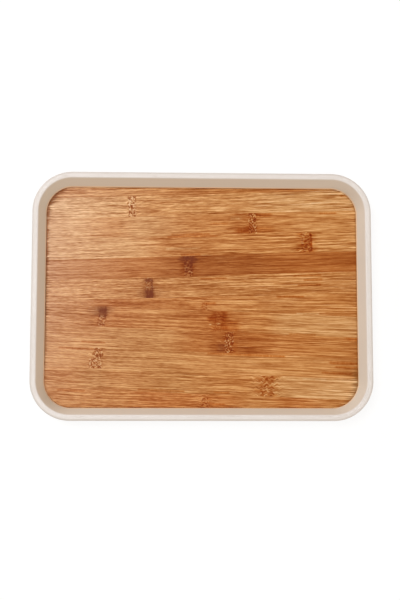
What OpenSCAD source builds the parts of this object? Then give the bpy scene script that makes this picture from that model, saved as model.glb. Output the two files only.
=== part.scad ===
// Serving tray: a moulded pan with a flared wall and a flat-topped lip, holding a board of
// edge-glued bamboo staves that is bonded down with tape, on four soft feet.
// The origin is the middle of the footprint, on the surface that the feet stand on.
// +X runs along the length, +Y to the rear, +Z up. All sizes are in millimetres.

/* [Tray] */
// Overall length over the lip
tray_l = 350; // [280:1:440]
// Overall width over the lip
tray_w = 256; // [205:1:320]
// Corner radius over the lip, in plan
corner_r = 41; // [32:0.5:55]

/* [Lip] */
// Width of the lip from its outer edge to the mouth of the well
lip_w = 6; // [5:0.1:9]
// Thickness of the lip
lip_t = 4; // [3.6:0.1:6]
// Radius of the lip's upper outer edge
lip_top_r = 2; // [0.5:0.1:2.2]
// Radius of the lip's lower outer edge
lip_under_r = 1.4; // [0.4:0.1:1.4]
// Radius of the lip's edge at the mouth of the well
mouth_r = 1.5; // [0.4:0.1:2.5]
// Radius of the hollow between the lip and the outside of the wall
lip_root_r = 1.5; // [0.4:0.1:2.5]

/* [Wall and floor] */
// Depth of the well, from the top of the lip to the top of the board
well_depth = 14.4; // [10:0.1:24]
// How far the wall leans out between the board and the lip
wall_lean = 7.2; // [4:0.1:11]
// Thickness of the wall, measured level
wall_t = 3.4; // [2.6:0.1:5]
// Thickness of the floor
floor_t = 3; // [2.4:0.1:5]
// Radius of the outside bend between the upright base and the flared wall
waist_r = 8; // [2:0.5:12]
// Radius of the inside bend at the edge of the board's pocket
ledge_r = 1; // [0.4:0.1:2]
// Radius in the corner of the board's pocket
pocket_r = 0.6; // [0.3:0.1:0.7]
// Radius of the outside edge of the base
base_r = 4; // [2:0.1:4.5]

/* [Foot rim] */
// Distance of the moulded foot rim from the outside of the base
rim_inset = 7; // [5:0.1:10]
// Width of the foot rim
rim_w = 4; // [3:0.1:6]
// Height of the foot rim under the floor
rim_h = 1; // [0.6:0.1:1.4]

/* [Board] */
// Thickness of the bamboo board
board_t = 6; // [4:0.1:10]
// Gap between the board and the pocket, all round
board_gap = 0.2; // [0.1:0.05:1.2]
// Radius of the board's upper edge
arris_r = 0.2; // [0.1:0.1:1.5]
// Width of the rip along the rear edge, at mid length
rear_rip_w = 6.6; // [6.5:0.1:14]
// Width of the tapering key stave, at mid length
key_w = 14.4; // [14:0.1:22]
// Width of the rip along the front edge, at mid length
front_rip_w = 14.2; // [8:0.1:18]
// How far the joints behind the key stave run to the rear, from left to right
rear_run = 11.5; // [0:0.1:12]
// How far the joints before the key stave run to the front, from left to right
front_run = 12.5; // [0:0.1:13]

/* [Bonding tape] */
// Width of a strip of tape
tape_w = 20; // [10:1:30]
// Thickness of the tape under the board
tape_t = 0.8; // [0.8:0.1:1.5]
// Distance from the end of the board to the middle of the first strip
tape_end = 26; // [20:1:40]
// Distance from the end of a strip to the front or rear edge of the board
tape_inset = 6; // [4:0.5:20]

/* [Feet] */
// Diameter of a foot
foot_d = 16; // [10:0.5:24]
// How far a foot stands proud of the underside
foot_proud = 1.8; // [1.6:0.1:4]
// Depth of the seat that holds a foot
foot_seat = 1.2; // [0.8:0.1:1.6]
// Clearance round a foot in its seat
foot_clear = 0.2; // [0.1:0.05:0.4]
// Radius of a foot's lower edge
foot_edge_r = 0.9; // [0.3:0.1:1.4]
// Distance of a foot's middle from the outer edges of the lip
foot_inset = 50; // [44:1:70]

/* [Hidden] */
$fn = 96;
// Straight steps in a quarter turn of a rounded edge
quarter_steps = 6;
// Full staves behind and before the key stave
rear_staves = 5;
front_staves = 4;
stave_count = rear_staves + front_staves + 3;
key_stave = rear_staves + 2;
tape_count = 4;

// Heights, from the surface up
under_z = foot_proud;
floor_z = under_z + floor_t;
board_z = floor_z + tape_t;
ledge_z = board_z + board_t;
lip_z = ledge_z + well_depth;
lip_under_z = lip_z - lip_t;

// Distances from the middle of a corner's curve, level
mouth_u = corner_r - lip_w;
ledge_u = mouth_u - wall_lean;
base_u = ledge_u + wall_t;
rim_u = base_u - rim_inset;
lean_a = atan(wall_lean / well_depth);

// The board fills the pocket up to its gap
board_l = tray_l - 2 * (corner_r - ledge_u + board_gap);
board_w = tray_w - 2 * (corner_r - ledge_u + board_gap);
board_r = ledge_u - board_gap;
stave_w = (board_w - rear_rip_w - key_w - front_rip_w) / (rear_staves + front_staves);

// Colours
shell_colour = [0.90, 0.86, 0.82];
bamboo_pale = [0.84, 0.65, 0.45];
bamboo_warm = [0.78, 0.55, 0.34];
bamboo_dark = [0.65, 0.40, 0.22];
tape_colour = [0.93, 0.92, 0.88];
foot_colour = [0.82, 0.80, 0.77];
stave_tones = [
    bamboo_warm, bamboo_pale, bamboo_warm, bamboo_pale, bamboo_dark, bamboo_pale,
    bamboo_warm, bamboo_pale, bamboo_dark, bamboo_pale, bamboo_warm, bamboo_pale
];

function stave_name(i) = str("stave_", i < 10 ? "0" : "", i);
function tape_name(i) = str("bonding_tape_", i);
function foot_name(sx, sy) = str("foot_", sy < 0 ? "front" : "rear", sx < 0 ? "_left" : "_right");

// Points along an arc, with steps in keeping with its turn
function arc(u, v, r, from, to) =
    let (steps = max(2, ceil(quarter_steps * abs(to - from) / 90)))
    [for (k = [0 : steps])
        let (a = from + (to - from) * k / steps)
        [u + r * cos(a), v + r * sin(a)]];

// Distance from a corner to where an edge of radius r begins, for a turn of a degrees
function tangent(r, a) = r * tan(a / 2);

// Carries a profile round a rectangle with round corners, with the profile's own axis on the
// middles of the corners
module carry_round(l, w, r) {
    for (side = [0, 1], turn = [0, 180])
        rotate(turn + 90 * side)
            translate([0, (side == 0 ? w : l) / 2 - r, 0])
                rotate([90, 0, 90])
                    linear_extrude((side == 0 ? l : w) - 2 * r, center = true)
                        children();
    for (k = [0 : 3])
        translate([(k == 0 || k == 3 ? 1 : -1) * (l / 2 - r), (k < 2 ? 1 : -1) * (w / 2 - r), 0])
            rotate(90 * k)
                rotate_extrude(angle = 90)
                    children();
}

// Plate between the middles of the corners, which closes a carried profile
module middle_plate(l, w, r, z, t) {
    translate([-(l / 2 - r), -(w / 2 - r), z])
        cube([l - 2 * r, w - 2 * r, t]);
}

// Section of the pan from the middle of a corner out to the lip and back along the floor
module shell_section() {
    turn_a = 90 - lean_a;
    root_u = base_u + (lip_under_z - ledge_z) * tan(lean_a);
    waist_t = tangent(waist_r, lean_a);
    root_t = tangent(lip_root_r, turn_a);
    mouth_t = tangent(mouth_r, turn_a);
    ledge_t = tangent(ledge_r, lean_a);
    polygon(concat(
        [[0, under_z]],
        [[rim_u - rim_w, under_z], [rim_u - rim_w + rim_h / 2, under_z - rim_h]],
        [[rim_u - rim_h / 2, under_z - rim_h], [rim_u, under_z]],
        arc(base_u - base_r, under_z + base_r, base_r, -90, 0),
        arc(base_u + waist_r, ledge_z - waist_t, waist_r, 180, 180 - lean_a),
        arc(root_u + root_t, lip_under_z - lip_root_r, lip_root_r, 90 + turn_a, 90),
        arc(corner_r - lip_under_r, lip_under_z + lip_under_r, lip_under_r, -90, 0),
        arc(corner_r - lip_top_r, lip_z - lip_top_r, lip_top_r, 0, 90),
        arc(mouth_u + mouth_t, lip_z - mouth_r, mouth_r, 90, 90 + turn_a),
        arc(ledge_u + ledge_r, ledge_z - ledge_t, ledge_r, 180 - lean_a, 180),
        arc(ledge_u - pocket_r, floor_z + pocket_r, pocket_r, 0, -90),
        [[0, floor_z]]
    ));
}

// Places its children at the middle of one foot
module at_foot(sx, sy) {
    translate([sx * (tray_l / 2 - foot_inset), sy * (tray_w / 2 - foot_inset), 0])
        children();
}

module tray_shell() {
    color(shell_colour)
        difference() {
            union() {
                carry_round(tray_l, tray_w, corner_r)
                    shell_section();
                middle_plate(tray_l, tray_w, corner_r, under_z, floor_t);
            }
            for (sx = [-1, 1], sy = [-1, 1])
                at_foot(sx, sy)
                    translate([0, 0, under_z - rim_h])
                        cylinder(h = rim_h + foot_seat, d = foot_d + 2 * foot_clear);
        }
}

// The whole board before it is divided into staves
module board_blank() {
    carry_round(board_l, board_w, board_r)
        polygon(concat(
            [[0, board_z], [board_r, board_z]],
            arc(board_r - arris_r, ledge_z - arris_r, arris_r, 0, 90),
            [[0, ledge_z]]
        ));
    middle_plate(board_l, board_w, board_r, board_z, board_t);
}

// Place of the joint before stave i at mid length, and its run to either side from there
function joint_mid(i) =
    i < key_stave
        ? board_w / 2 - rear_rip_w - (i - 1) * stave_w
        : -board_w / 2 + front_rip_w + (stave_count - 1 - i) * stave_w;
function joint_run(i) = i < key_stave ? rear_run : -front_run;

// Two points on the joint before stave i, half a board's length past either end of the board,
// or clear of the board's edge for the outer staves
function joint_line(i) =
    [for (side = [-1, 1])
        [side * board_l,
         i == 0 ? board_w : i == stave_count ? -board_w : joint_mid(i) + side * joint_run(i)]];

module stave(i) {
    rear = joint_line(i - 1);
    front = joint_line(i);
    color(stave_tones[i - 1])
        intersection() {
            board_blank();
            linear_extrude(lip_z)
                polygon([front[0], front[1], rear[1], rear[0]]);
        }
}

module bonding_tape(i) {
    pitch = (board_l - 2 * tape_end) / (tape_count - 1);
    color(tape_colour)
        translate([
            (i - 1) * pitch - board_l / 2 + tape_end - tape_w / 2,
            tape_inset - board_w / 2,
            floor_z
        ])
            cube([tape_w, board_w - 2 * tape_inset, tape_t]);
}

module foot(sx, sy) {
    color(foot_colour)
        at_foot(sx, sy)
            rotate_extrude()
                polygon(concat(
                    [[0, 0]],
                    arc(foot_d / 2 - foot_edge_r, foot_edge_r, foot_edge_r, -90, 0),
                    [[foot_d / 2, foot_proud + foot_seat], [0, foot_proud + foot_seat]]
                ));
}

tray_shell();
for (i = [1 : stave_count])
    stave(i);
for (i = [1 : tape_count])
    bonding_tape(i);
for (sy = [-1, 1], sx = [-1, 1])
    foot(sx, sy);
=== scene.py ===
"""Serving tray: a cream moulded pan with a bamboo board bonded into its floor, on four soft feet."""
import math
from typing import NamedTuple, Sequence

import bmesh
import bpy
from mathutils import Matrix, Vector


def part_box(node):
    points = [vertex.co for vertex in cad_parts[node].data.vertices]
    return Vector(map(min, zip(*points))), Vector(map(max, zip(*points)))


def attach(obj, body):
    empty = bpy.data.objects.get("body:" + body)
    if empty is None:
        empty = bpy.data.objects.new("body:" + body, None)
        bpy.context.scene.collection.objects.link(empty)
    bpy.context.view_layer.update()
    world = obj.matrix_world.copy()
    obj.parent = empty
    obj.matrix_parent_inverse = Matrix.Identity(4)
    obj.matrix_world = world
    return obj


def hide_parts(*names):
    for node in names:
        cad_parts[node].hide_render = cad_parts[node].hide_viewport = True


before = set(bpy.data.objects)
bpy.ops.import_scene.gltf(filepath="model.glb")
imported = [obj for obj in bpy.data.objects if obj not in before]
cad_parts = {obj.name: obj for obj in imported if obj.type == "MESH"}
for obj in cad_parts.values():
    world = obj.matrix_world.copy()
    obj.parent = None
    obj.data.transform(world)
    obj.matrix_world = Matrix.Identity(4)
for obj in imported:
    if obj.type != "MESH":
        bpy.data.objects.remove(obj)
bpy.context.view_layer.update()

MM = 0.001


def nodes_named(start):
    """Names of the frame's nodes that start alike, in order."""
    return sorted(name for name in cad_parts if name.startswith(start))


# Nodes and sizes read from the frame, in metres
STAVES = nodes_named("stave_")
TAPES = nodes_named("bonding_tape_")
FEET = nodes_named("foot_")
PAN_LOW, PAN_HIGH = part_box("tray_shell")
FOOT_LOW, FOOT_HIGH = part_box("foot_rear_right")
BOARD_LOW, BOARD_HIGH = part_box(STAVES[1])
PAN_LENGTH = PAN_HIGH.x - PAN_LOW.x
PAN_WIDTH = PAN_HIGH.y - PAN_LOW.y
LIP_Z = PAN_HIGH.z
LEDGE_Z = BOARD_HIGH.z
FOOT_D = FOOT_HIGH.x - FOOT_LOW.x
FOOT_TOP = FOOT_HIGH.z
FOOT_PLACE = (FOOT_LOW + FOOT_HIGH) / 2

# The pan's section, in metres
CORNER_R = 41 * MM
LIP_W = 6 * MM
LIP_T = 4 * MM
LIP_TOP_R = 2 * MM
LIP_UNDER_R = 1.4 * MM
MOUTH_R = 1.5 * MM
LIP_ROOT_R = 1.5 * MM
WALL_LEAN = 7.2 * MM
WALL_T = 3.4 * MM
WAIST_R = 8 * MM
LEDGE_R = 1 * MM
POCKET_R = 0.6 * MM
BASE_R = 4 * MM
UNDER_Z = 1.8 * MM
FLOOR_T = 3 * MM
RIM_INSET = 7 * MM
RIM_W = 4 * MM
RIM_H = 1 * MM
RIM_R = 0.3 * MM
SEAT_CLEAR = 0.2 * MM
FOOT_EDGE_R = 0.9 * MM
FOOT_TOP_R = 0.2 * MM

# Height of the floor of the pocket, and how steeply the wall of the well rises
POCKET_Z = UNDER_Z + FLOOR_T
WALL_SLOPE = (LIP_Z - LEDGE_Z) / WALL_LEAN
# Distances of the well's mouth and foot from the middle of a corner's curve
MOUTH_U = CORNER_R - LIP_W
LEDGE_U = MOUTH_U - WALL_LEAN

# The board's outline, in metres
BOARD_GAP = 0.2 * MM
BOARD_HALF_X = BOARD_HIGH.x
BOARD_HALF_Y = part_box(STAVES[0])[1].y
BOARD_CORNER_R = LEDGE_U - BOARD_GAP

# Steps in a quarter turn of an edge, in a corner of the plan, round a foot and round its seat
EDGE_STEPS = 8
CORNER_STEPS = 40
FOOT_STEPS = 72
CUTTER_STEPS = 96
# The angle from which an edge is sharp, and how close together points are welded
SHARP_EDGE = math.radians(38)
WELD = 0.002 * MM


def arc(u, z, r, start, stop):
    """Points of an arc round (u, z), from one angle to another in degrees."""
    steps = max(2, math.ceil(EDGE_STEPS * abs(stop - start) / 90))
    turns = [math.radians(start + (stop - start) * k / steps) for k in range(steps + 1)]
    return [(u + r * math.cos(a), z + r * math.sin(a)) for a in turns]


def tangent(r, turn):
    """Distance from a corner to where its rounding of radius r begins."""
    return r * math.tan(math.radians(turn) / 2)


def rim_section(u, z):
    """Moulded foot rim: a low ridge with slanted, softened flanks, from its inner to its outer edge."""
    slope = math.degrees(math.atan2(RIM_H, RIM_H / 2))
    ease = tangent(RIM_R, slope)
    low = z - RIM_H
    inner = arc(u - RIM_W + RIM_H / 2 + ease, low + RIM_R, RIM_R, 270 - slope, 270)
    outer = arc(u - RIM_H / 2 - ease, low + RIM_R, RIM_R, 270, 270 + slope)
    return [(u - RIM_W, z)] + inner + outer + [(u, z)]


def pan_section():
    """Outline of the pan's wall from the underside, over the lip and down to the pocket's floor."""
    base_u = LEDGE_U + WALL_T
    rim_u = base_u - RIM_INSET
    lip_under_z = LIP_Z - LIP_T
    lean = math.degrees(math.atan2(WALL_LEAN, LIP_Z - LEDGE_Z))
    turn = 90 - lean
    root_u = base_u + (lip_under_z - LEDGE_Z) * math.tan(math.radians(lean))
    inner_u = rim_u - 2 * RIM_W
    return (
        [(inner_u, UNDER_Z)]
        + rim_section(rim_u, UNDER_Z)
        + arc(base_u - BASE_R, UNDER_Z + BASE_R, BASE_R, -90, 0)
        + arc(base_u + WAIST_R, LEDGE_Z - tangent(WAIST_R, lean), WAIST_R, 180, turn + 90)
        + arc(root_u + tangent(LIP_ROOT_R, turn), lip_under_z - LIP_ROOT_R, LIP_ROOT_R, 90 + turn, 90)
        + arc(CORNER_R - LIP_UNDER_R, lip_under_z + LIP_UNDER_R, LIP_UNDER_R, -90, 0)
        + arc(CORNER_R - LIP_TOP_R, LIP_Z - LIP_TOP_R, LIP_TOP_R, 0, 90)
        + arc(MOUTH_U + tangent(MOUTH_R, turn), LIP_Z - MOUTH_R, MOUTH_R, 90, 90 + turn)
        + arc(LEDGE_U + LEDGE_R, LEDGE_Z - tangent(LEDGE_R, lean), LEDGE_R, 90 + turn, 180)
        + arc(LEDGE_U - POCKET_R, POCKET_Z + POCKET_R, POCKET_R, 0, -90)
        + [(inner_u, POCKET_Z)]
    )


def foot_section():
    """Outline of a foot, from the middle of its underside to the middle of its top."""
    r = FOOT_D / 2
    return (
        [(0, 0)]
        + arc(r - FOOT_EDGE_R, FOOT_EDGE_R, FOOT_EDGE_R, -90, 0)
        + arc(r - FOOT_TOP_R, FOOT_TOP - FOOT_TOP_R, FOOT_TOP_R, 0, 90)
        + [(0, FOOT_TOP)]
    )


class Wiring:
    """A node tree, wired in the script."""

    def __init__(self, tree):
        self.tree = tree

    def add(self, kind, settings=None, **inputs):
        """Add a node, with its settings and with values or links for its inputs, by name."""
        node = self.tree.nodes.new(kind)
        for key, value in (settings or {}).items():
            setattr(node, key, value)
        for label, value in inputs.items():
            self.feed(node.inputs[label.replace("_", " ")], value)
        return node

    def feed(self, socket, *values):
        """Link other nodes' outputs to a socket, or set it to a value."""
        for value in values:
            if isinstance(value, bpy.types.NodeSocket):
                self.tree.links.new(value, socket)
            else:
                socket.default_value = value

    def math(self, operation, *values):
        """Work out numbers."""
        node = self.add("ShaderNodeMath", {"operation": operation})
        for socket, value in zip(node.inputs, values):
            self.feed(socket, value)
        return node.outputs[0]


class Tree(Wiring):
    """A geometry node tree with named inputs for sizes, counts and the finish."""

    def __init__(self, name, sizes, counts=()):
        super().__init__(bpy.data.node_groups.new(name, "GeometryNodeTree"))
        kinds = {"Geometry": "NodeSocketGeometry", "Finish": "NodeSocketMaterial"}
        kinds.update({size: "NodeSocketFloat" for size in sizes})
        kinds.update({count: "NodeSocketInt" for count in counts})
        self.sockets = {}
        for label, kind in kinds.items():
            socket = self.tree.interface.new_socket(label, in_out="INPUT", socket_type=kind)
            self.sockets[label] = socket.identifier
        self.tree.interface.new_socket("Geometry", in_out="OUTPUT", socket_type="NodeSocketGeometry")
        self.given = self.tree.nodes.new("NodeGroupInput").outputs
        self.result = self.tree.nodes.new("NodeGroupOutput").inputs[0]

    def compare(self, operation, first, second, kind="FLOAT"):
        """Compare two numbers of one kind."""
        node = self.add("FunctionNodeCompare", {"data_type": kind, "operation": operation})
        sockets = [socket for socket in node.inputs if socket.enabled]
        self.feed(sockets[0], first)
        self.feed(sockets[1], second)
        return node.outputs[0]

    def finish(self, geometry):
        """Shade smooth but for sharp edges, realise, set the finish and hand the mesh out."""
        smooth = self.add("GeometryNodeSetShadeSmooth", Geometry=geometry, Shade_Smooth=True)
        angle = self.add("GeometryNodeInputMeshEdgeAngle").outputs["Unsigned Angle"]
        creased = self.add("GeometryNodeSetShadeSmooth", {"domain": "EDGE"}, Geometry=smooth.outputs[0],
                           Selection=self.compare("GREATER_THAN", angle, SHARP_EDGE),
                           Shade_Smooth=False)
        real = self.add("GeometryNodeRealizeInstances", Geometry=creased.outputs[0])
        done = self.add("GeometryNodeSetMaterial", Geometry=real.outputs[0],
                        Material=self.given["Finish"])
        self.feed(self.result, done.outputs[0])

    def put_on(self, piece, **values):
        """Add the tree to a piece as a modifier, with its inputs set by their identifiers."""
        modifier = piece.modifiers.new(self.tree.name, "NODES")
        modifier.node_group = self.tree
        for label, value in values.items():
            modifier[self.sockets[label.replace("_", " ")]] = value


def closing_plates(tree, wall):
    """Plates over the open edges of a carried section, the upper one facing up, the lower one down."""
    faces = tree.add("GeometryNodeInputMeshEdgeNeighbors").outputs["Face Count"]
    open_edge = tree.compare("EQUAL", faces, 1, kind="INT")
    place = tree.add("GeometryNodeInputPosition").outputs[0]
    height = tree.add("ShaderNodeSeparateXYZ", Vector=place).outputs["Z"]
    levels = tree.math("ADD", tree.given["Lower Level"], tree.given["Upper Level"])
    middle = tree.math("MULTIPLY", levels, 0.5)
    plates = []
    for level, side in (("Upper Level", "GREATER_THAN"), ("Lower Level", "LESS_THAN")):
        chosen = tree.add("FunctionNodeBooleanMath", {"operation": "AND"})
        tree.feed(chosen.inputs[0], open_edge)
        tree.feed(chosen.inputs[1], tree.compare(side, height, middle))
        loop = tree.add("GeometryNodeMeshToCurve", Mesh=wall, Selection=chosen.outputs[0])
        plate = tree.add("GeometryNodeFillCurve", {"mode": "NGONS"}, Curve=loop.outputs[0])
        lift = tree.add("ShaderNodeCombineXYZ", Z=tree.given[level])
        plate = tree.add("GeometryNodeTransform", Geometry=plate.outputs[0],
                         Translation=lift.outputs[0])
        if side == "LESS_THAN":
            plate = tree.add("GeometryNodeFlipFaces", Mesh=plate.outputs[0])
        plates.append(plate.outputs[0])
    return plates


def carried_section_tree():
    """Carries an open section round a rectangle with round corners and closes it above and below."""
    sizes = ("Length", "Width", "Corner Radius", "Lower Level", "Upper Level")
    tree = Tree("carried_section", sizes, counts=("Corner Steps",))
    given = tree.given
    outline = tree.add("GeometryNodeCurvePrimitiveQuadrilateral", {"mode": "RECTANGLE"},
                       Width=given["Length"], Height=given["Width"])
    rounded = tree.add("GeometryNodeFilletCurve", {"mode": "POLY"}, Curve=outline.outputs[0],
                       Count=given["Corner Steps"], Radius=given["Corner Radius"], Limit_Radius=True)
    upright = tree.add("GeometryNodeSetCurveNormal", {"mode": "Z_UP"}, Curve=rounded.outputs[0])
    section = tree.add("GeometryNodeMeshToCurve", Mesh=given["Geometry"])
    wall = tree.add("GeometryNodeCurveToMesh", Curve=upright.outputs[0],
                    Profile_Curve=section.outputs[0])
    wall = tree.add("GeometryNodeFlipFaces", Mesh=wall.outputs[0])
    wall = tree.add("GeometryNodeMergeByDistance", Geometry=wall.outputs[0], Distance=WELD)
    whole = tree.add("GeometryNodeJoinGeometry")
    tree.feed(whole.inputs[0], wall.outputs[0], *closing_plates(tree, wall.outputs[0]))
    welded = tree.add("GeometryNodeMergeByDistance", Geometry=whole.outputs[0], Distance=WELD)
    tree.finish(welded.outputs[0])
    return tree


def foot_seat_tree():
    """Sinks a round seat for each foot into the underside."""
    tree = Tree("foot_seats", ("Spread X", "Spread Y", "Diameter", "Seat Level"))
    given = tree.given
    corners = tree.add("GeometryNodeCurvePrimitiveQuadrilateral", {"mode": "RECTANGLE"},
                       Width=given["Spread X"], Height=given["Spread Y"])
    radius = tree.math("MULTIPLY", given["Diameter"], 0.5)
    cutter = tree.add("GeometryNodeMeshCylinder", Vertices=CUTTER_STEPS, Radius=radius,
                      Depth=given["Diameter"])
    level = tree.add("ShaderNodeCombineXYZ", Z=tree.math("SUBTRACT", given["Seat Level"], radius))
    lowered = tree.add("GeometryNodeTransform", Geometry=cutter.outputs["Mesh"],
                       Translation=level.outputs[0])
    seats = tree.add("GeometryNodeInstanceOnPoints", Points=corners.outputs[0],
                     Instance=lowered.outputs[0])
    real = tree.add("GeometryNodeRealizeInstances", Geometry=seats.outputs[0])
    cut = tree.add("GeometryNodeMeshBoolean", {"operation": "DIFFERENCE", "solver": "EXACT"},
                   Mesh_1=given["Geometry"], Mesh_2=real.outputs[0])
    tree.finish(cut.outputs[0])
    return tree


def in_scene(name, data):
    """A new object in the scene."""
    thing = bpy.data.objects.new(name, data)
    bpy.context.scene.collection.objects.link(thing)
    return thing


def section_piece(name, outline, corner):
    """An object that holds an open section, with x out from the path it is carried round and y down."""
    points = [(u - corner, -z, 0) for u, z in outline]
    mesh = bpy.data.meshes.new(name)
    mesh.from_pydata(points, [(k, k + 1) for k in range(len(points) - 1)], [])
    return in_scene(name, mesh)


def settle(piece, finish):
    """Give the flat faces flat normals, turn the modifiers' result into a plain mesh and drop them."""
    weighted = piece.modifiers.new("flat_faces", "WEIGHTED_NORMAL")
    weighted.keep_sharp = True
    graph = bpy.context.evaluated_depsgraph_get()
    mesh = bpy.data.meshes.new_from_object(piece.evaluated_get(graph))
    piece.modifiers.clear()
    piece.data = mesh
    mesh.name = piece.name
    mesh.materials.clear()
    mesh.materials.append(finish)
    mesh.polygons.foreach_set("material_index", [0] * len(mesh.polygons))
    return piece


def fit(piece, node):
    """Let a piece stand for a node of the frame."""
    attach(piece, "root")
    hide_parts(node)


def make_pan(carried, seats, finish):
    """The moulded pan: its section carried round, with four seats sunk into the underside."""
    piece = section_piece("pan", pan_section(), CORNER_R)
    carried.put_on(piece, Length=PAN_LENGTH, Width=PAN_WIDTH, Corner_Radius=CORNER_R,
                   Corner_Steps=CORNER_STEPS, Lower_Level=UNDER_Z, Upper_Level=POCKET_Z,
                   Finish=finish)
    seats.put_on(piece, Spread_X=2 * FOOT_PLACE.x, Spread_Y=2 * FOOT_PLACE.y,
                 Diameter=FOOT_D + 2 * SEAT_CLEAR, Seat_Level=FOOT_TOP, Finish=finish)
    fit(settle(piece, finish), "tray_shell")


def make_foot(node, finish):
    """A soft foot, turned from its outline."""
    low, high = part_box(node)
    middle = (low + high) / 2
    shape = bmesh.new()
    points = [shape.verts.new((u, 0, z)) for u, z in foot_section()]
    lines = [shape.edges.new(pair) for pair in zip(points, points[1:])]
    bmesh.ops.spin(shape, geom=points + lines, axis=(0, 0, 1), cent=(0, 0, 0),
                   steps=FOOT_STEPS, angle=math.tau)
    bmesh.ops.remove_doubles(shape, verts=shape.verts, dist=WELD)
    bmesh.ops.recalc_face_normals(shape, faces=shape.faces)
    bmesh.ops.translate(shape, verts=shape.verts, vec=(middle.x, middle.y, 0))
    for face in shape.faces:
        face.smooth = True
    name = node.replace("foot", "soft_foot")
    mesh = bpy.data.meshes.new(name)
    shape.to_mesh(mesh)
    shape.free()
    mesh.set_sharp_from_angle(angle=SHARP_EDGE)
    fit(settle(in_scene(name, mesh), finish), node)


# The mean of the noise, and the direction in which patterns are shifted apart
NOISE_MEAN = 0.5
SHIFT_WAY = (1.0, 0.37, 0.71)


class Finish(Wiring):
    """A node material, wired on the object's own coordinates in millimetres."""

    def __init__(self, name):
        self.material = bpy.data.materials.new(name)
        self.material.use_nodes = True
        super().__init__(self.material.node_tree)
        self.tree.nodes.clear()
        self.shader = self.add("ShaderNodeBsdfPrincipled")
        self.add("ShaderNodeOutputMaterial", Surface=self.shader.outputs["BSDF"])

    def set(self, **values):
        """Set or link inputs of the shader, by name."""
        for label, value in values.items():
            self.feed(self.shader.inputs[label.replace("_", " ")], value)

    def place(self, turn=0.0):
        """Object coordinates in millimetres, turned about the upright axis."""
        coordinates = self.add("ShaderNodeTexCoord")
        return self.mapped(coordinates.outputs["Object"], (1 / MM,) * 3, rotation=(0, 0, turn))

    def mapped(self, vector, scale, location=(0, 0, 0), rotation=(0, 0, 0)):
        """Coordinates scaled, turned and then moved."""
        node = self.add("ShaderNodeMapping", Vector=vector, Location=location, Rotation=rotation,
                        Scale=scale)
        return node.outputs[0]

    def split(self, vector):
        """The x, y and z of a vector."""
        return self.add("ShaderNodeSeparateXYZ", Vector=vector).outputs

    def joined(self, x, y, z):
        """A vector of x, y and z."""
        return self.add("ShaderNodeCombineXYZ", X=x, Y=y, Z=z).outputs[0]

    def product(self, first, *others):
        """Multiply any count of numbers."""
        for other in others:
            first = self.math("MULTIPLY", first, other)
        return first

    def plus(self, base, value, share):
        """A number plus a share of another."""
        return self.math("MULTIPLY_ADD", value, share, base)

    def ramp(self, value, low, high, to_low=0.0, to_high=1.0):
        """Map a value between two limits softly onto another range, and hold it there."""
        node = self.add("ShaderNodeMapRange", {"interpolation_type": "SMOOTHSTEP"}, Value=value,
                        From_Min=low, From_Max=high, To_Min=to_low, To_Max=to_high)
        return node.outputs[0]

    def band(self, value, level, limits):
        """0 to 1 between two limits that are counted from a level."""
        return self.ramp(value, level + limits[0], level + limits[1])

    def hump(self, value, middle, flat, soft):
        """1 within half a length of a place, fading out softly beyond it."""
        away = self.math("ABSOLUTE", self.math("SUBTRACT", value, middle))
        return self.ramp(away, flat + soft, max(0.0, flat - soft))

    def noise(self, vector, size, detail=0.0, roughness=0.5, shift=0.0):
        """Soft noise with features of a size in millimetres, as one number or along x, y and z."""
        size = size if isinstance(size, tuple) else (size,) * 3
        moved = self.mapped(vector, tuple(1 / s for s in size),
                            location=tuple(shift * way for way in SHIFT_WAY))
        node = self.add("ShaderNodeTexNoise", Vector=moved, Scale=1.0, Detail=detail,
                        Roughness=roughness)
        return node.outputs["Fac"]

    def swing(self, vector, size, detail=1.0, shift=0.0):
        """The same noise about a mean of 0."""
        return self.math("SUBTRACT", self.noise(vector, size, detail=detail, shift=shift), NOISE_MEAN)

    def cells(self, vector, size):
        """Distance to the edges of irregular cells of a given size in millimetres."""
        node = self.add("ShaderNodeTexVoronoi", {"feature": "DISTANCE_TO_EDGE"},
                        Vector=self.mapped(vector, (1 / size,) * 3), Scale=1.0)
        return node.outputs["Distance"]

    def mix(self, amount, first, second, blend="MIX"):
        """Blend two colours."""
        node = self.add("ShaderNodeMix", {"data_type": "RGBA", "blend_type": blend}, Factor=amount)
        for socket, value in ((node.inputs[6], first), (node.inputs[7], second)):
            self.feed(socket, value if isinstance(value, bpy.types.NodeSocket) else (*value, 1))
        return node.outputs[2]

    def gamma(self, colour, amount):
        """A colour made deeper by an amount over 1, or paler by one under 1."""
        return self.add("ShaderNodeGamma", Color=colour, Gamma=amount).outputs[0]

    def grey(self, colour):
        """The brightness of a colour."""
        return self.add("ShaderNodeRGBToBW", Color=colour).outputs[0]

    def bump(self, height, depth):
        """Surface relief from a height of 0 to 1, with its depth in millimetres."""
        return self.add("ShaderNodeBump", Height=height, Distance=depth * MM, Strength=1.0).outputs[0]


# Colours are linear
CREAM = (0.785, 0.742, 0.73)
# A darker cream for the clouds and flecks, and for the painted shade on the lip's outer edge
CREAM_MOTTLE_AND_SHADE = (0.69, 0.64, 0.615)
# Painted shade and painted warm light bounced from the board, on the wall of the well
CREAM_WALL_SHADE_AND_BOUNCE = (0.71, 0.638, 0.56)
# A painted warm glow of light bounced from the board, at the foot of the wall
CREAM_BOUNCE_GLOW = (0.92, 0.655, 0.43)
# Painted shade in the gap between the board and the pocket's wall
SEAM_PAINTED_SHADE = (0.30, 0.14, 0.05)
RUBBER = (0.50, 0.47, 0.43)
RUBBER_DUST = (0.58, 0.55, 0.51)
TAPE_FILM = (0.78, 0.75, 0.66)
TAPE_GLUE = (0.62, 0.55, 0.40)
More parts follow.
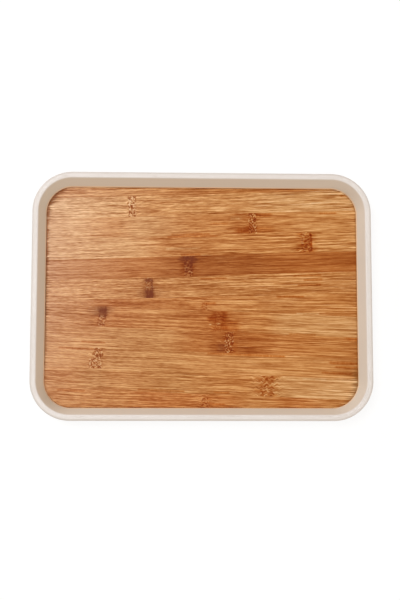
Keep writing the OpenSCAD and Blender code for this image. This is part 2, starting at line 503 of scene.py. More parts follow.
# Tones of the bamboo, from pale to dark
BLOND = (0.640, 0.335, 0.130)
PALE = (0.595, 0.290, 0.100)
STRAW = (0.565, 0.246, 0.071)
HONEY = (0.525, 0.207, 0.052)
SAND = (0.515, 0.222, 0.062)
RUSSET = (0.520, 0.180, 0.040)
TAN = (0.495, 0.195, 0.050)
AMBER = (0.465, 0.160, 0.034)
TOAST = (0.385, 0.110, 0.019)
UMBER = (0.335, 0.092, 0.016)
SCORCH = (0.175, 0.038, 0.014)
# The board's dark edge: oil in the end grain, with painted shadow of the pan's wall
EDGE_OIL_AND_SHADOW = (0.13, 0.042, 0.008)

# The moulding: sizes of its clouds, flecks and matt grain in millimetres, and the grain's depth
CLOUD_SIZE = 38.0
FLECK_SIZE = 1.6
MATT_SIZE = 0.45
MATT_DEPTH = 0.03
# Shade and roughness of the moulding by its clouds and flecks, and its shine
CLOUD_SHADE = (0.35, 0.75, 0.0, 0.25)
FLECK_SHADE = (0.50, 0.80, 0.0, 0.12)
FLECK_ROUGH = (0.3, 0.7, 0.50, 0.60)
PAN_SHINE = 0.4
# Depth in from the outline, in millimetres, over which the rounded outer edge of the lip is darkened
# with painted shade
LIP_EDGE = (2.8, 1.0)
LIP_EDGE_SHADE = 0.85
# How far up the wall from the board, in millimetres, a painted warm glow of light bounced from the board
# reaches
WALL_BOUNCE_HEIGHT = 2.4
# Soft bounds of the wall of the well, in millimetres from its mouth, its slope and its foot
MOUTH_BAND = (-0.4, 1.2)
SLOPE_BAND = (-4, -2)
LEDGE_BAND = (-3, -2)
# Soft bounds of the pocket, from the foot of the wall, and of its seam of painted shade, from the
# board's face
POCKET_BAND = (-2, -1)
SEAM_BAND = (-0.8, -1.6)
# Soft bounds of the handled top of the lip, from its face, and how much smoother it is
HANDLED_BAND = (-2.0, -0.2)
HANDLED_SHEEN = 0.08

# Feet and tape: sizes of their patterns and depths of their relief in millimetres
DUST_SIZE = 2.2
DUST_HEIGHT = 1.2
RUBBER_SIZE = 0.3
RUBBER_DEPTH = 0.04
CRINKLE_SIZE = (3.0, 9.0, 3.0)
CRINKLE_DEPTH = 0.1
BUBBLE_SIZE = 2.6


def depth_within(finish, place, half_x, half_y, corner_r):
    """Depth of a place inside a rectangle with round corners, in millimetres."""
    x, y, _ = finish.split(place)
    over = []
    for value, half in ((x, half_x), (y, half_y)):
        over.append(finish.math("SUBTRACT", finish.math("ABSOLUTE", value), (half - corner_r) / MM))
    out = [finish.math("MAXIMUM", value, 0.0) for value in over]
    square = finish.plus(finish.product(out[1], out[1]), out[0], out[0])
    within = finish.math("MINIMUM", finish.math("MAXIMUM", *over), 0.0)
    reach = finish.math("ADD", finish.math("SQRT", square), within)
    return finish.math("SUBTRACT", corner_r / MM, reach)


def well_wall(finish, depth, height):
    """1 on the wall of the well, told from the outside of the pan by its height at each depth."""
    rise = finish.plus(height, depth, WALL_SLOPE)
    past_mouth = finish.band(depth, LIP_W / MM, MOUTH_BAND)
    on_slope = finish.band(rise, (LIP_Z + WALL_SLOPE * LIP_W) / MM, SLOPE_BAND)
    over_ledge = finish.band(height, LEDGE_Z / MM, LEDGE_BAND)
    return finish.product(past_mouth, on_slope, over_ledge)


def pocket_seam_shade(finish, depth, height):
    """1 down in the pocket beside the board, where the gap gets painted shade."""
    over_floor = finish.ramp(height, (UNDER_Z + FLOOR_T / 2) / MM, POCKET_Z / MM)
    past_wall = finish.band(depth, (LIP_W + WALL_LEAN) / MM, POCKET_BAND)
    return finish.product(over_floor, past_wall, finish.band(height, LEDGE_Z / MM, SEAM_BAND))


def pan_finish():
    """Moulded cream composite: faint clouding, a fine matt grain and a handled lip, with painted shade
    on the lip's edge, the well and the seam, and painted bounce light on the well.
    """
    finish = Finish("cream_moulding")
    place = finish.place()
    height = finish.split(place)[2]
    depth = depth_within(finish, place, PAN_LENGTH / 2, PAN_WIDTH / 2, CORNER_R)
    cloud = finish.noise(place, CLOUD_SIZE, detail=3.0)
    fleck = finish.noise(place, FLECK_SIZE, detail=2.0, shift=5.0)
    matt = finish.noise(place, MATT_SIZE, detail=2.0, shift=9.0)
    shade = finish.math("ADD", finish.ramp(cloud, *CLOUD_SHADE), finish.ramp(fleck, *FLECK_SHADE))
    # Painted shade on the outer rounding of the lip
    shade = finish.plus(shade, finish.ramp(depth, *LIP_EDGE), LIP_EDGE_SHADE)
    colour = finish.mix(shade, CREAM, CREAM_MOTTLE_AND_SHADE)
    # The wall of the well gets painted shade and painted warm bounce light from the board
    inside = well_wall(finish, depth, height)
    colour = finish.mix(inside, colour, CREAM_WALL_SHADE_AND_BOUNCE)
    # A band of painted bounce light at the foot of the wall, just over the board
    oiled = finish.product(finish.band(height, LEDGE_Z / MM, (WALL_BOUNCE_HEIGHT, 0)), inside)
    colour = finish.mix(oiled, colour, CREAM_BOUNCE_GLOW)
    # Painted shade down in the gap beside the board
    colour = finish.mix(pocket_seam_shade(finish, depth, height), colour, SEAM_PAINTED_SHADE)
    handled = finish.band(height, LIP_Z / MM, HANDLED_BAND)
    rough = finish.plus(finish.ramp(fleck, *FLECK_ROUGH), handled, -HANDLED_SHEEN)
    finish.set(Base_Color=colour, Roughness=rough, Normal=finish.bump(matt, MATT_DEPTH))
    finish.set(Specular_IOR_Level=PAN_SHINE)
    return finish.material


def foot_finish():
    """Soft grey rubber, dusted towards the face that it stands on."""
    finish = Finish("soft_rubber")
    place = finish.place()
    height = finish.split(place)[2]
    dust = finish.noise(place, DUST_SIZE, detail=4.0, roughness=0.65)
    worn = finish.product(finish.ramp(height, DUST_HEIGHT, 0.0), finish.ramp(dust, 0.4, 0.65))
    grain = finish.noise(place, RUBBER_SIZE, detail=2.0, shift=3.0)
    finish.set(Base_Color=finish.mix(worn, RUBBER, RUBBER_DUST))
    finish.set(Roughness=finish.ramp(dust, 0.3, 0.7, 0.62, 0.8))
    finish.set(Normal=finish.bump(grain, RUBBER_DEPTH))
    return finish.material


def tape_finish():
    """Double-sided tape: a milky film with a crinkled, yellower layer of glue."""
    finish = Finish("bonding_tape")
    place = finish.place()
    crinkle = finish.noise(place, CRINKLE_SIZE, detail=3.0)
    bubbles = finish.cells(place, BUBBLE_SIZE)
    glue = finish.product(finish.ramp(bubbles, 0.02, 0.12), finish.ramp(crinkle, 0.3, 0.7))
    finish.set(Base_Color=finish.mix(glue, TAPE_FILM, TAPE_GLUE))
    finish.set(Roughness=finish.ramp(crinkle, 0.3, 0.7, 0.3, 0.5))
    finish.set(Normal=finish.bump(crinkle, CRINKLE_DEPTH))
    return finish.material


class Stave(NamedTuple):
    """What sets one bamboo stave apart: its tones along x, its run, its grain, knuckles and stains."""
    tones: Sequence
    run: float = 0.0
    length: float = 1.0
    contrast: float = 1.0
    knuckles: Sequence = ()
    stains: Sequence = ()
    scorches: Sequence = ()

    def along(self, x, y):
        """A place on the board in the stave's own directions, along and across its fibres."""
        cos, sin = math.cos(self.run), math.sin(self.run)
        return x * cos + y * sin, y * cos - x * sin


class Knuckle(NamedTuple):
    """A node of the culm, cut through: pale pith among dark lines, with combed fibres to either side."""
    x: float
    y: float
    width: float
    lines: float = 0.6
    char: float = 0.35
    pith: float = 0.4
    comb: float = 0.2
    zigzag: float = 0.0
    long: float = 1.7
    half_y: float = 14.0


class Stain(NamedTuple):
    """A darker patch with a soft edge, or a paler one where its strength is less than 0."""
    x: float
    y: float
    half_x: float
    half_y: float
    strength: float
    soft: float = 3.0


# How far the staves rise to the right in the rear half, and fall in the front half
REAR_RISE = 11.5 * MM
FRONT_FALL = 12.5 * MM
BOARD_L = BOARD_HIGH.x - BOARD_LOW.x
REAR_RUN = math.atan2(REAR_RISE, BOARD_L)
FRONT_RUN = -math.atan2(FRONT_FALL, BOARD_L)

# Sizes of the fibre pattern are in millimetres, along the stave, across it and down
# How the fibres sway along a stave and waver more closely, and how far that moves them
SWAY_SIZE = (60, 14, 14)
SWAY_REACH = 1.8
WAVER_SIZE = (7, 3.5, 3.5)
WAVER_REACH = 0.4
# How far they waver in a knuckle, and half the length of a zigzag in one
KNUCKLE_WAVER = 4.5
ZIGZAG_STEP = 2.7
# Layers of fibre: length, thickness and strength
FIBRE_LAYERS = ((120, 7.0, 0.1), (24, 0.75, 1.4), (80, 0.75, 1.8), (50, 1.6, 0.28))
# Short dashes that break the fibres up, and their strength at the left and the right
DASH_SIZE = (6, 0.65, 0.65)
DASH_STRENGTH = (1.6, 0.6)
# Layers of vessels: length, thickness and strength, half the band that draws them, and their breaks
VESSEL_LAYERS = ((80, 3.4, -0.23), (50, 2.6, 0.2), (100, 5.0, -0.2))
VESSEL_BAND = 0.07
VESSEL_BREAKS = (24, 5, 5)
BREAK_BAND = (0.35, 0.65)
# Contrast of the grain at the left and the right of the board, which is calmer to the left
BOARD_SPAN = (-150, 150)
GRAIN_CONTRAST = (0.85, 1.15)
# The palest that a fibre gets, and how softly it gets there
SWING_MOST = 0.48
SWING_EASE = 0.3
# How far a swing of 1 takes the gamma of a tone down, and by what factor it lightens it
SWING_DEPTH = 0.68
SWING_LIGHT = 1.48
# Depth of the fibres' relief, their roughness by their swing and their shine by their brightness
FIBRE_DEPTH = 0.02
FIBRE_ROUGH = (-0.5, 0.5, 0.31, 0.25)
FIBRE_SHINE = (0.04, 0.36, 0.05, 0.38)

# Stains: how much further their ends fray than their sides, and the streaks that break them up
STAIN_FRAY = 1.5
STREAK_SIZE = (1.3, 9, 9)
STREAK_STRENGTH = 0.9

# Knuckles: how far their sides fray and how soft their edge is
KNUCKLE_FRAY = 4.0
KNUCKLE_EDGE = 1.0
# How wide and how soft the combed fibres beside a knuckle are, by its width
COMB_WIDTH = 0.8
COMB_SOFT = 0.4
# Size of the comb's teeth, thickness of the marks, and how much calmer the grain is among them
TEETH_SIZE = (12, 1.5, 1.5)
MARK_THICK = 1.4
MARK_CALM = 0.5
# Where in its noise each mark starts and is full
TEETH_BAND = (0.46, 0.58)
PITH_BAND = (0.53, 0.65)
LINE_BAND = (0.52, 0.41)
# How far apart the patterns of one stave and the next are drawn
FIBRE_SHIFT = 17.3
TEETH_SHIFT = 5.1
MARK_SHIFT = 3.7

# How far the board is darkened from its outline, in millimetres, by oil in its end grain and by painted
# shadow of the pan's wall
DARK_EDGE_REACH = 2.7
# How much further a dark fibre takes the oil up, and how much the darkening adds to a colour's gamma
SOAK_UPTAKE = 1.6
SOAK_AND_SHADE_DEPTH = 0.5
# Stretches of the board's edge along x or y, in millimetres from its middle
LEFT_SPAN = (-130, -155)
LEFT_REAR_SPAN = (10, 50)
REAR_CORNER_SPAN = (80, 100)
FRONT_CORNER_X = (140, 160)
FRONT_CORNER_Y = (-60, -90)
# How dark the edge is from front to rear, and how much darker along the left: oil, with painted shadow
# of the rear and left walls
SOAK_AND_SHADE_ALL = (-110, -60, 0.15, 0.26)
SOAK_AND_SHADE_LEFT = (-120, -20, 0.0, 0.45)
# What each stretch adds to the darkening, and to how far it reaches in millimetres
SOAK_AND_SHADE_LEFT_REAR = (-0.15, 0.6)
SOAK_AND_SHADE_REAR_CORNER = (0.12, 2.6)
SOAK_FRONT_CORNER = (0.38, 7.0)

# Sizes and places in millimetres, from the board's middle, +x to the right and +y to the rear
BAMBOO = {
    "stave_01": Stave(
        ((-90, STRAW), (0, HONEY), (50, HONEY), (95, AMBER), (135, STRAW)), run=REAR_RUN),
    "stave_02": Stave(
        ((-135, BLOND), (-90, PALE), (-45, STRAW), (30, STRAW), (90, PALE)),
        run=REAR_RUN, contrast=1.25,
        knuckles=[Knuckle(-73, 94.5, 8, lines=0.8, char=0.45, comb=0.1)],
        stains=[Stain(149, 107.5, 4, 0.7, 0.7, 1)]),
    "stave_03": Stave(
        ((-130, PALE), (-90, STRAW), (-60, PALE), (0, HONEY), (50, AMBER), (80, HONEY), (130, STRAW)),
        run=REAR_RUN, length=0.6, contrast=0.9,
        knuckles=[Knuckle(53, 78, 8, comb=0.35)],
        stains=[Stain(44, 70, 8, 2.5, 0.45), Stain(66, 71, 8, 2.5, 0.25),
                Stain(64, 86.5, 8, 1.5, 0.4, 2), Stain(38, 88, 9, 0.6, 0.35, 1),
                Stain(36, 83, 6, 1.5, -0.35, 1.5), Stain(18, 77, 9, 1.2, 0.25, 1.5),
                Stain(132, 89, 9, 0.8, 0.4, 1), Stain(-12, 65.5, 20, 0.7, 0.4, 1)]),
    "stave_04": Stave(
        ((-80, PALE), (-30, HONEY), (100, HONEY), (135, STRAW)), run=REAR_RUN, length=0.7,
        knuckles=[Knuckle(109, 58, 11, lines=0.5, char=0.25, pith=0.3, comb=0.5, long=3.2)],
        stains=[Stain(114.3, 58, 0.5, 9, 0.7, 0.8), Stain(110.5, 58, 3.5, 10, 0.2, 1.5),
                Stain(-10, 63.5, 26, 0.7, 0.4, 1), Stain(-20, 50.5, 18, 1.2, -0.3, 1.2),
                Stain(-12, 44, 10, 0.8, 0.45, 1)]),
    "stave_05": Stave(
        ((-140, TAN), (-60, AMBER), (-20, UMBER), (50, UMBER), (100, TOAST)),
        run=REAR_RUN, contrast=0.7,
        knuckles=[Knuckle(-14, 32.7, 9, lines=0.4, char=0.4, pith=0.35)],
        stains=[Stain(22, 41, 13, 1.0, -0.16, 2)],
        scorches=[Stain(-14.5, 40.5, 6, 2, 0.9, 3), Stain(-8, 38.5, 2, 3, 0.6),
                  Stain(-20, 39.5, 3, 2, 0.5), Stain(-13.5, 33, 4, 7, 0.4, 4)]),
    "stave_06": Stave(
        ((-100, STRAW), (-50, TAN)), run=REAR_RUN, length=1.4, contrast=1.2,
        knuckles=[Knuckle(-55, 8.2, 8, lines=0.35, pith=0.3, comb=0.1)],
        stains=[Stain(-54.5, 9.4, 4.5, 0.3, -0.4, 0.8), Stain(110, 23, 14, 0.8, 0.4, 1),
                Stain(12, 19, 14, 0.7, 0.4, 1), Stain(112, 13, 12, 0.9, 0.4, 1),
                Stain(116, 18.5, 10, 0.8, 0.35, 1)],
        scorches=[Stain(-54.5, 2.6, 4.5, 5.3, 0.95, 2), Stain(-55.5, 17, 4.2, 1.8, 0.75, 2),
                  Stain(-51.7, 9, 0.5, 9, 0.7, 0.8), Stain(-55, 2.5, 10, 4, 0.45, 5),
                  Stain(-56, 10, 6, 7, 0.25, 4)]),
    "stave_07": Stave(
        ((-140, TAN), (-95, TOAST), (-50, AMBER), (0, AMBER), (40, HONEY), (85, TAN), (130, HONEY)),
        knuckles=[Knuckle(3, -10, 5, lines=0.3, char=0.2, pith=0.25, half_y=3.5)],
        stains=[Stain(92, 0.8, 14, 1.0, 0.5, 1), Stain(8, -7, 6, 1.0, 0.4, 1.5),
                Stain(40, -15, 8, 1.0, -0.2, 1.5), Stain(110, -17, 12, 1.0, -0.3, 1)]),
    "stave_08": Stave(
        ((-140, TAN), (-90, AMBER), (-45, HONEY), (0, AMBER), (35, AMBER), (62, HONEY), (92, PALE)),
        run=FRONT_RUN, contrast=0.9,
        knuckles=[Knuckle(-103.3, -25, 8, lines=0.3, char=0.6, pith=0.3, comb=0.1, half_y=6),
                  Knuckle(17, -25, 9, lines=0.2, char=0.1, pith=0.0, comb=0.3)],
        stains=[Stain(10, -22.5, 3.5, 2.5, 0.35, 2.5), Stain(23.5, -25, 2.2, 9, 0.25, 2),
                Stain(17, -25, 9, 7, 0.22, 6), Stain(8.4, -28.8, 1.2, 0.5, -0.5, 0.7),
                Stain(17, -28, 2.2, 0.5, -0.6, 0.7), Stain(30, -33, 8, 2.5, 0.35, 2.5),
                Stain(104, -39, 14, 0.8, 0.4, 1), Stain(32, -27, 5, 2, 0.35, 2)],
        scorches=[Stain(-103, -15.5, 3, 3.5, 0.9, 5), Stain(-108, -14.5, 7, 3, 0.35, 6),
                  Stain(-95, -14, 4, 2, 0.25, 4), Stain(-101.5, -16, 1.5, 4.5, 0.5, 3),
                  Stain(-99.5, -15.5, 0.5, 7, 0.5, 0.9)]),
    "stave_09": Stave(
        ((-120, STRAW), (-80, SAND), (-45, SAND), (0, AMBER), (20, TOAST), (60, TOAST), (90, AMBER),
         (135, HONEY)), run=FRONT_RUN, length=1.2, contrast=0.9,
        knuckles=[Knuckle(28, -48.5, 9, lines=0.4, char=0.3, pith=0.5)],
        stains=[Stain(156, -43, 7, 2, 0.4, 2), Stain(-112, -47.5, 12, 0.8, 0.35, 1)],
        scorches=[Stain(20.5, -52.5, 3.3, 4.3, 0.45)]),
    "stave_10": Stave(
        ((-130, STRAW), (-90, SAND), (-45, SAND), (10, STRAW), (110, STRAW), (150, TAN)),
        run=FRONT_RUN, length=1.4, contrast=0.9,
        knuckles=[Knuckle(-106.6, -63.5, 9, char=0.45), Knuckle(-113.5, -69, 5, half_y=5)],
        stains=[Stain(150, -68.5, 18, 1, 0.5, 1.5), Stain(152, -73, 14, 0.8, 0.4, 1),
                Stain(140, -79, 16, 0.8, 0.4, 1), Stain(46, -60, 40, 1.2, 0.55, 1),
                Stain(-126, -54, 22, 0.9, 0.35, 1)]),
    "stave_11": Stave(
        ((-145, HONEY), (-105, SAND), (-85, STRAW), (-30, SAND), (45, HONEY), (85, PALE), (155, BLOND)),
        run=FRONT_RUN, length=0.8, contrast=0.95,
        knuckles=[Knuckle(67.5, -94.5, 14, char=0.15, pith=0.2, comb=0.45, zigzag=0.5, long=4.2)],
        stains=[Stain(-80, -98, 30, 0.8, 0.4, 1), Stain(-152, -93, 12, 5, -0.08, 4),
                Stain(-42, -97, 24, 0.8, 0.4, 1), Stain(20, -99, 8, 0.8, 0.4, 1),
                Stain(116, -85, 12, 1.0, -0.25, 1)]),
    "stave_12": Stave(
        ((-90, HONEY), (-45, RUSSET), (20, RUSSET), (60, HONEY), (105, RUSSET), (145, STRAW)),
        run=FRONT_RUN,
        knuckles=[Knuckle(3.3, -109.5, 8, lines=0.5, pith=0.2, half_y=5)],
        stains=[Stain(-134, -97, 14, 0.9, 0.35, 1), Stain(16, -111, 8, 0.9, 0.35, 1)]),
}


class Fibres:
    """The fibre pattern of one stave, on its own directions."""

    def __init__(self, finish, stave, seed):
        self.finish = finish
        self.stave = stave
        self.shift = seed * FIBRE_SHIFT
        straight = finish.place(turn=-stave.run)
        self.x, self.y, self.z = finish.split(straight)
        self.waver = finish.swing(straight, WAVER_SIZE, shift=self.shift + 3)
        self.place = self.bent(straight)
        swing, self.streak = self.layers()
        swing = finish.math("SMOOTH_MIN", self.vessels(swing), SWING_MOST, SWING_EASE)
        contrast = [share * stave.contrast for share in GRAIN_CONTRAST]
        self.swing = finish.product(swing, finish.ramp(self.x, *BOARD_SPAN, *contrast))

    def bent(self, straight):
        """The place on fibres that sway along the stave and wind about in its knuckles."""
        finish = self.finish
        sway = finish.swing(straight, SWAY_SIZE, shift=self.shift)
        bend = finish.plus(finish.product(self.waver, WAVER_REACH), sway, SWAY_REACH)
        for knuckle in self.stave.knuckles:
            at_x, _ = self.stave.along(knuckle.x, knuckle.y)
            near = finish.hump(self.x, at_x, knuckle.width, knuckle.width)
            bend = finish.plus(bend, finish.product(near, KNUCKLE_WAVER), self.waver)
            if knuckle.zigzag:
                fold = finish.product(near, finish.math("PINGPONG", self.x, ZIGZAG_STEP))
                bend = finish.plus(bend, fold, knuckle.zigzag)
        return finish.joined(self.x, finish.math("ADD", self.y, bend), self.z)

    def drawn_out(self, length, thick):
        """Size of a pattern along this stave's fibres."""
        return (length * self.stave.length, thick, thick)

    def layers(self):
        """Dashes and layers of fibre, and the last layer by itself."""
        finish = self.finish
        dash = finish.swing(self.place, DASH_SIZE, shift=self.shift + 6)
        swing = finish.product(dash, finish.ramp(self.x, *BOARD_SPAN, *DASH_STRENGTH))
        for length, thick, strength in FIBRE_LAYERS:
            layer = finish.swing(self.place, self.drawn_out(length, thick), shift=self.shift + length)
            swing = finish.plus(swing, layer, strength)
        return swing, layer

    def vessels(self, swing):
        """The swing with thin lines along the level lines of a drawn-out noise, which come and go."""
        finish = self.finish
        for length, thick, strength in VESSEL_LAYERS:
            size = self.drawn_out(length, thick)
            level = finish.swing(self.place, size, shift=self.shift + 2 * length)
            line = finish.ramp(finish.math("ABSOLUTE", level), VESSEL_BAND, 0.0)
            breaks = finish.noise(self.place, VESSEL_BREAKS, shift=self.shift + 3 * length)
            broken = finish.product(line, finish.ramp(breaks, *BREAK_BAND))
            swing = finish.plus(swing, broken, strength)
        return swing


def stave_tone(finish, stave, x):
    """The tone of a stave, turning from one to the next along its length."""
    tone = stave.tones[0][1]
    for (start, _), (stop, following) in zip(stave.tones, stave.tones[1:]):
        tone = finish.mix(finish.ramp(x, start, stop), tone, following)
    return tone


def patch(finish, stave, fibres, stain):
    """How strong a stain is at each place, broken up along the fibres."""
    at_x, at_y = stave.along(stain.x, stain.y)
    soft_x = STAIN_FRAY * stain.soft
    ragged_x = finish.plus(fibres.x, fibres.waver, soft_x)
    ragged_y = finish.plus(fibres.y, fibres.waver, stain.soft)
    within = finish.product(finish.hump(ragged_x, at_x, stain.half_x, soft_x),
                            finish.hump(ragged_y, at_y, stain.half_y, stain.soft))
    # Streaks along the fibres, and finer ones across them
    broken = finish.plus(1.0, fibres.streak, STREAK_STRENGTH)
    across = finish.swing(fibres.place, STREAK_SIZE, detail=0.0, shift=stain.x)
    broken = finish.plus(broken, across, STREAK_STRENGTH)
    return finish.product(within, broken, stain.strength)


def knuckled(finish, stave, fibres, seed):
    """The swing of the fibres, quieter in the knuckles, the marks of the knuckles and their char."""
    swing, marks, charred = fibres.swing, 0.0, 0.0
    ragged = finish.plus(fibres.x, fibres.waver, KNUCKLE_FRAY)
    for number, knuckle in enumerate(stave.knuckles):
        at_x, at_y = stave.along(knuckle.x, knuckle.y)
        level = finish.hump(fibres.y, at_y, knuckle.half_y, KNUCKLE_EDGE)
        inside = finish.product(finish.hump(ragged, at_x, knuckle.width / 2, KNUCKLE_EDGE), level)
        beside = finish.hump(ragged, at_x, COMB_WIDTH * knuckle.width, COMB_SOFT * knuckle.width)
        teeth = finish.noise(fibres.place, TEETH_SIZE, shift=seed * TEETH_SHIFT + number)
        combed = finish.product(finish.ramp(teeth, *TEETH_BAND), beside, level)
        mark_size = (knuckle.long, MARK_THICK, MARK_THICK)
        spots = finish.noise(fibres.place, mark_size, detail=1.0, shift=seed * MARK_SHIFT + number)
        pith = finish.product(finish.ramp(spots, *PITH_BAND), inside)
        lines = finish.product(finish.ramp(spots, *LINE_BAND), inside)
        swing = finish.product(swing, finish.plus(1.0, inside, -MARK_CALM))
        marks = finish.plus(marks, combed, -knuckle.comb)
        marks = finish.plus(marks, pith, knuckle.pith)
        marks = finish.plus(marks, lines, -knuckle.lines)
        charred = finish.plus(charred, lines, knuckle.char)
    return swing, marks, charred


def edge_soak_and_shade(finish, fibres):
    """How far oil and painted shadow of the wall darken each place along the board's outline, and how
    much they deepen the colour.
    """
    place = finish.place()
    x, y, _ = finish.split(place)
    depth = depth_within(finish, place, BOARD_HALF_X, BOARD_HALF_Y, BOARD_CORNER_R)
    # Little at the front, more along the left, and most in two corners; what grows towards the left and
    # rear is painted shadow of the wall
    left = finish.ramp(x, *LEFT_SPAN)
    left_rear = finish.product(left, finish.ramp(y, *LEFT_REAR_SPAN))
    rear_corner = finish.product(left, finish.ramp(y, *REAR_CORNER_SPAN))
    front_corner = finish.product(finish.ramp(x, *FRONT_CORNER_X), finish.ramp(y, *FRONT_CORNER_Y))
    amount = finish.plus(finish.ramp(y, *SOAK_AND_SHADE_ALL), left, finish.ramp(y, *SOAK_AND_SHADE_LEFT))
    reach = DARK_EDGE_REACH
    for stretch, (more, further) in ((left_rear, SOAK_AND_SHADE_LEFT_REAR), (rear_corner, SOAK_AND_SHADE_REAR_CORNER),
                                     (front_corner, SOAK_FRONT_CORNER)):
        amount = finish.plus(amount, stretch, more)
        reach = finish.plus(reach, stretch, further)
    # Dark fibres have taken it up further than pale ones
    uptake = finish.plus(1.0, fibres.swing, -SOAK_UPTAKE)
    darkened_band = finish.ramp(depth, finish.product(reach, uptake), 0.0)
    return finish.product(darkened_band, amount), finish.product(darkened_band, left_rear, SOAK_AND_SHADE_DEPTH)


def bamboo_finish(name, stave, seed):
    """Sanded and oiled bamboo: streaks along the stave, knuckles, stains and a fine fibre relief."""
    finish = Finish("bamboo_" + name)
    fibres = Fibres(finish, stave, seed)
    swing, marks, charred = knuckled(finish, stave, fibres, seed)
    for stain in stave.stains:
        marks = finish.math("SUBTRACT", marks, patch(finish, stave, fibres, stain))
    # Paler fibres are brighter and less saturated, darker ones dimmer, and marks deeper in colour
    deeper = finish.plus(finish.math("SUBTRACT", 1.0, marks), swing, -SWING_DEPTH)
    colour = finish.gamma(stave_tone(finish, stave, fibres.x), deeper)
    colour = finish.mix(1.0, colour, finish.math("POWER", SWING_LIGHT, swing), blend="MULTIPLY")
    if stave.knuckles:
        colour = finish.mix(charred, colour, SCORCH)
    for scorch in stave.scorches:
        colour = finish.mix(patch(finish, stave, fibres, scorch), colour, SCORCH)
    # The board's edge darkened by oil and by painted shadow of the pan's wall
    edge_dark, deepened = edge_soak_and_shade(finish, fibres)
    colour = finish.mix(edge_dark, finish.gamma(colour, finish.math("ADD", deepened, 1.0)), EDGE_OIL_AND_SHADOW)
    finish.set(Base_Color=colour, Roughness=finish.ramp(swing, *FIBRE_ROUGH))
    # Dark fibres are open pores, with less shine than the pale ones
    finish.set(Specular_IOR_Level=finish.ramp(finish.grey(colour), *FIBRE_SHINE))
    finish.set(Normal=finish.bump(fibres.swing, FIBRE_DEPTH))
    return finish.material


def dress(node, material):
    """Give a node of the frame one finish all over."""
    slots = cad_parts[node].data.materials
    slots.clear()
    slots.append(material)


# The floor under the tray, in metres: half its size, its height and its glow to the camera
STAGE_HALF = 6.0
STAGE_Z = -0.1 * MM
STAGE_GLOW = 0.89
# Distances from the tray between which the floor turns from the glow to plain white
GLOW_REACH = (0.45, 1.5)
STAGE_GREY = (0.13, 0.13, 0.13)
STAGE_PLAIN = (0.8, 0.8, 0.8)
DOME = (0.49, 0.422, 0.322)
WHITE = (1.0, 1.0, 1.0)
# Soft boxes: the way to them from the tray, their distance and size in metres, and their level
KEY_WAY = Vector((-0.34, 0.18, 1.0))
KEY_AWAY = 3.6
KEY_SIZE = 1.2
KEY_LEVEL = 0.44
KEY_COLOUR = (0.95, 1.0, 1.08)
LOW_LIGHTS = {
    "low_rear": (Vector((-0.7, 0.7, 0.36)), 0.07),
    "low_front": (Vector((0.7, -0.7, 0.36)), 0.08),
}
LOW_AWAY = 2.4
LOW_SIZE = 1.0
# The camera, as fitted to the tray's edges, with its tilt in radians
CAMERA_PLACE = Vector((-43.27, -130.25, 1153.19)) * MM
CAMERA_TILT = (0.1107, -0.0359, 0.0048)
CAMERA_LENS = 66.54
CAMERA_SENSOR = 36.0


class Stage(Wiring):
    """Shaders of the floor and of the dome of light over it."""

    def __init__(self, owner):
        owner.use_nodes = True
        super().__init__(owner.node_tree)
        self.tree.nodes.clear()

    def coloured(self, kind, colour):
        """A shader of one plain colour."""
        return self.add(kind, Color=(*colour, 1)).outputs[0]

    def either(self, choice, first, second):
        """One shader where the choice is 0, and another where it is 1."""
        node = self.add("ShaderNodeMixShader")
        for socket, value in zip(node.inputs, (choice, first, second)):
            self.feed(socket, value)
        return node.outputs[0]

    def seen_directly(self):
        """1 for a ray from the camera, or one that a mirror or glass passes on, and 0 for the rest."""
        path = self.add("ShaderNodeLightPath").outputs
        seen = self.math("MAXIMUM", path["Is Camera Ray"], path["Is Glossy Ray"])
        return self.math("MAXIMUM", seen, path["Is Transmission Ray"])

    def glow(self):
        """A glow that turns to plain white away from the tray."""
        place = self.add("ShaderNodeTexCoord").outputs["Object"]
        away = self.add("ShaderNodeVectorMath", {"operation": "LENGTH"}, Vector=place)
        near, far = GLOW_REACH
        level = self.add("ShaderNodeMapRange", Value=away.outputs["Value"], From_Min=near, From_Max=far,
                         To_Min=STAGE_GLOW, To_Max=1.0)
        return self.add("ShaderNodeEmission", Strength=level.outputs[0]).outputs[0]


def floor_finish():
    """White to the camera but for the shadow on it, plain to other rays, and clear from below."""
    material = bpy.data.materials.new("pale_floor")
    stage = Stage(material)
    shown = stage.add("ShaderNodeAddShader")
    stage.feed(shown.inputs[0], stage.coloured("ShaderNodeBsdfDiffuse", STAGE_GREY))
    stage.feed(shown.inputs[1], stage.glow())
    plain = stage.coloured("ShaderNodeBsdfDiffuse", STAGE_PLAIN)
    above = stage.either(stage.seen_directly(), plain, shown.outputs[0])
    from_below = stage.add("ShaderNodeNewGeometry").outputs["Backfacing"]
    clear = stage.add("ShaderNodeBsdfTransparent").outputs[0]
    stage.add("ShaderNodeOutputMaterial", Surface=stage.either(from_below, above, clear))
    return material


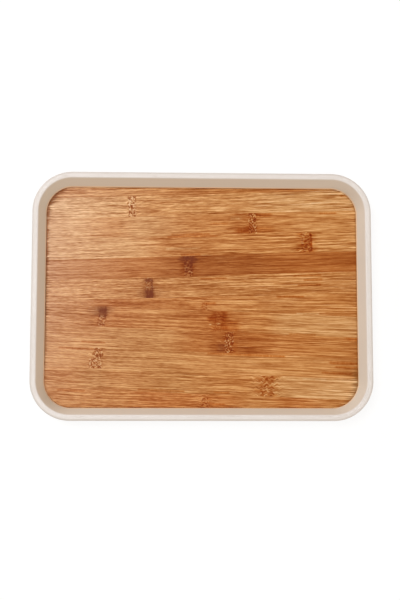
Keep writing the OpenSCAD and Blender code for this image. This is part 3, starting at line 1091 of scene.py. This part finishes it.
def make_floor():
    """The floor that the tray stands on, as stage."""
    mesh = bpy.data.meshes.new("floor")
    sides = ((-1, -1), (1, -1), (1, 1), (-1, 1))
    mesh.from_pydata([(x * STAGE_HALF, y * STAGE_HALF, STAGE_Z) for x, y in sides], [], [(0, 1, 2, 3)])
    mesh.materials.append(floor_finish())
    floor = in_scene("floor", mesh)


def make_dome():
    """Soft light from all round, white where the camera sees it."""
    world = bpy.data.worlds.new("dome")
    stage = Stage(world)
    light = stage.coloured("ShaderNodeBackground", DOME)
    white = stage.coloured("ShaderNodeBackground", WHITE)
    seen = stage.add("ShaderNodeLightPath").outputs["Is Camera Ray"]
    stage.add("ShaderNodeOutputWorld", Surface=stage.either(seen, light, white))
    bpy.context.scene.world = world


def make_light(name, way, away, size, level, colour, gloss=True):
    """A square soft box that looks at the tray's middle and lights a white sheet there to a level."""
    data = bpy.data.lights.new(name, "AREA")
    data.shape = "SQUARE"
    data.size = size
    data.energy = level * (math.pi * away) ** 2 / way.normalized().z
    data.color = colour
    light = in_scene(name, data)
    light.location = way.normalized() * away
    light.rotation_euler = way.to_track_quat("Z", "Y").to_euler()
    light.visible_camera = False
    light.visible_glossy = gloss


def make_camera():
    """The camera that sees the tray as the photograph does."""
    data = bpy.data.cameras.new("camera")
    data.sensor_width = CAMERA_SENSOR
    data.lens = CAMERA_LENS
    camera = in_scene("camera", data)
    camera.rotation_mode = "ZYX"
    camera.rotation_euler = CAMERA_TILT
    camera.location = CAMERA_PLACE
    bpy.context.scene.camera = camera


make_camera()
make_floor()
make_dome()
make_light("key", KEY_WAY, KEY_AWAY, KEY_SIZE, KEY_LEVEL, KEY_COLOUR)
for low_light, (low_way, low_level) in LOW_LIGHTS.items():
    make_light(low_light, low_way, LOW_AWAY, LOW_SIZE, low_level, WHITE, gloss=False)
bpy.context.scene.view_settings.view_transform = "Standard"

make_pan(carried_section_tree(), foot_seat_tree(), pan_finish())
rubber = foot_finish()
for foot in FEET:
    make_foot(foot, rubber)
for number, stave_node in enumerate(STAVES, start=1):
    dress(stave_node, bamboo_finish(stave_node, BAMBOO[stave_node], number))
film = tape_finish()
for tape in TAPES:
    dress(tape, film)
